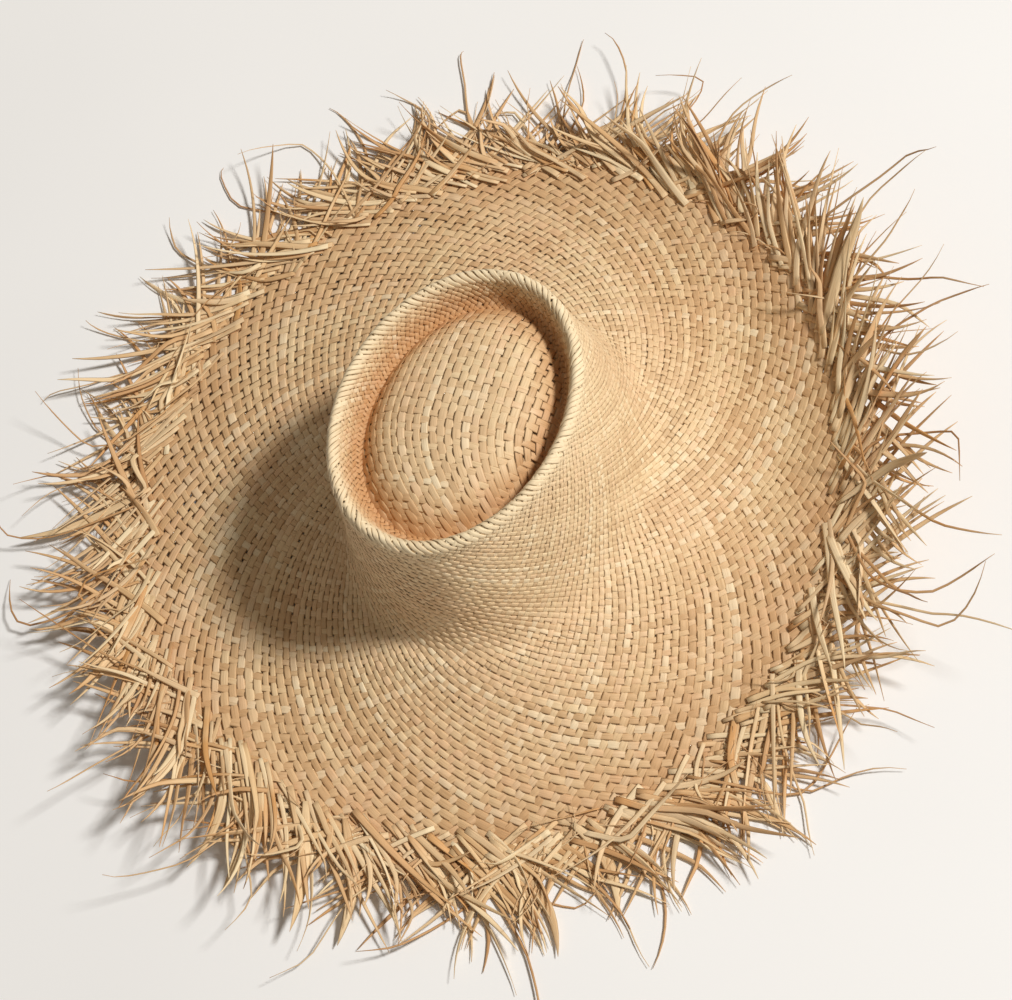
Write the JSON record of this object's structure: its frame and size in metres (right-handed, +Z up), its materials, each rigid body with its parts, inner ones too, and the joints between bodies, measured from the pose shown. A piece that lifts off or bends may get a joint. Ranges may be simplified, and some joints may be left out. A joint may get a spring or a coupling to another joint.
{
  "type": "wide-brim raffia sombrero",
  "caption": "Handwoven raffia sun hat: an oval crown with a sunken domed tip inside a folded rim, a broad wavy brim, a long frayed fringe and a sewn-in sweatband.",
  "frame": {"origin": "on the ground, below the middle of the hat", "axes": "+Z up through the crown tip; +Y towards the front of the hat, along the long way of the head oval; +X to the wearer's right"},
  "size_m": [0.6006, 0.6005, 0.1402],
  "materials": {
    "woven_raffia": "matte woven raffia with a slight fibre sheen",
    "raffia_strand": "loose dry raffia leaf strands, satin along the fibre",
    "sweatband_ribbon": "matte ribbed cotton ribbon",
    "sewing_thread": "matte twisted cotton thread"
  },
  "bodies": {
    "root": {"crown_tip": "woven_raffia", "crown_rim": "woven_raffia", "crown_wall": "woven_raffia", "brim": "woven_raffia", "sweatband": "sweatband_ribbon", "sweatband_stitching": "sewing_thread", "sweatband_bow_tab": "sweatband_ribbon", "fringe_tuft_01": "raffia_strand", "fringe_tuft_02": "raffia_strand", "fringe_tuft_03": "raffia_strand", "fringe_tuft_04": "raffia_strand", "fringe_tuft_05": "raffia_strand", "fringe_tuft_06": "raffia_strand", "fringe_tuft_07": "raffia_strand", "fringe_tuft_08": "raffia_strand", "fringe_tuft_09": "raffia_strand", "fringe_tuft_10": "raffia_strand", "fringe_tuft_11": "raffia_strand", "fringe_tuft_12": "raffia_strand", "fringe_tuft_13": "raffia_strand", "fringe_tuft_14": "raffia_strand", "fringe_tuft_15": "raffia_strand", "fringe_tuft_16": "raffia_strand", "fringe_tuft_17": "raffia_strand", "fringe_tuft_18": "raffia_strand", "fringe_tuft_19": "raffia_strand", "fringe_tuft_20": "raffia_strand", "fringe_tuft_21": "raffia_strand", "fringe_tuft_22": "raffia_strand", "fringe_tuft_23": "raffia_strand", "fringe_tuft_24": "raffia_strand"}
  },
  "joints": []
}
